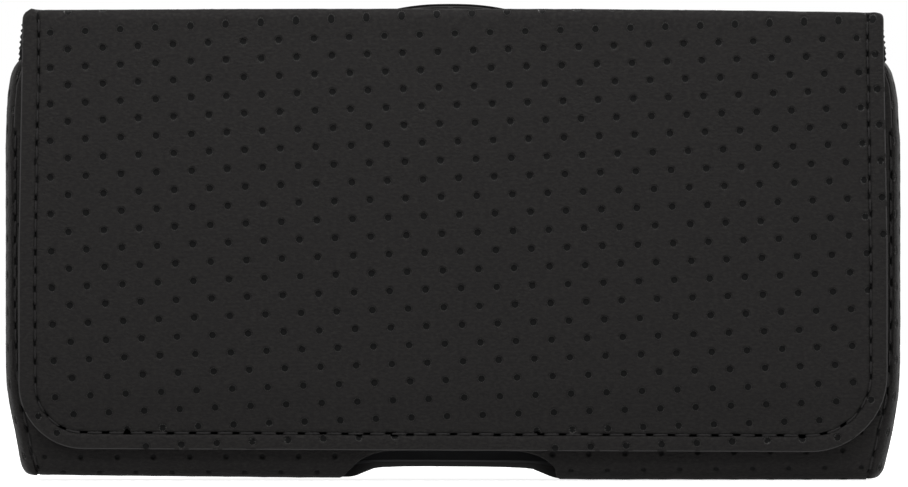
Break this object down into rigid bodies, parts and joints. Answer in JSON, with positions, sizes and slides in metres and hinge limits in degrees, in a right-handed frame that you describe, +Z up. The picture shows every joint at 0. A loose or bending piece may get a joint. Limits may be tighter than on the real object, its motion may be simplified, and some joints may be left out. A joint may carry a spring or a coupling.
{
  "type": "phone belt holster",
  "caption": "Horizontal belt pouch for a phone: perforated leather case with elastic sides, a stitched magnetic flap, a sprung belt clip and strap loops on the back.",
  "frame": {"origin": "middle of the bottom of the whole object's box, at the height that it stands on", "axes": "+X across the front to the viewer's right, +Z up, the flap's face towards -Y and the belt clip towards +Y"},
  "size_m": [0.1678, 0.0316, 0.0896],
  "materials": {
    "perforated_leather": "satin, dotted",
    "smooth_leather": "satin",
    "board": "matte",
    "lining": "brushed",
    "elastic": "ribbed",
    "thread": "waxed",
    "spring_steel": "satin",
    "nickel": "polished",
    "magnet": "plated"
  },
  "bodies": {
    "pouch": {"pouch_cover": "perforated_leather", "pouch_stiffener": "board", "pouch_lining": "lining", "pouch_magnets": "magnet", "mouth_stitching": "thread", "gusset_left": "perforated_leather", "elastic_left": "elastic", "seam_left": "thread", "gusset_right": "perforated_leather", "elastic_right": "elastic", "seam_right": "thread", "clip_base_plate": "spring_steel", "clip_backing_plate": "spring_steel", "clip_rivets": "nickel", "clip_pin": "nickel", "clip_spring": "spring_steel", "belt_loop_left": "smooth_leather", "loop_stitching_left": "thread", "belt_loop_right": "smooth_leather", "loop_stitching_right": "thread"},
    "flap": {"flap_cover": "perforated_leather", "flap_stiffener": "board", "flap_lining": "lining", "flap_magnets": "magnet", "flap_stitching": "thread"},
    "clip": {"clip_leaf": "spring_steel", "clip_lining": "smooth_leather", "clip_cover": "smooth_leather"}
  },
  "joints": [
    {"name": "flap_hinge", "type": "hinge", "parent": "pouch", "child": "flap", "pos_m": [0, 0.00055, 0.0882], "axis": [-1, 0, 0], "range_deg": [0, 150]},
    {"name": "clip_hinge", "type": "hinge", "parent": "pouch", "child": "clip", "pos_m": [-0.0005, 0.0105, 0.076], "axis": [1, 0, 0], "range_deg": [0, 18], "stiffness_Nm_per_rad": 0.3, "springref_deg": -20.05, "deforming": ["clip_spring"]}
  ]
}
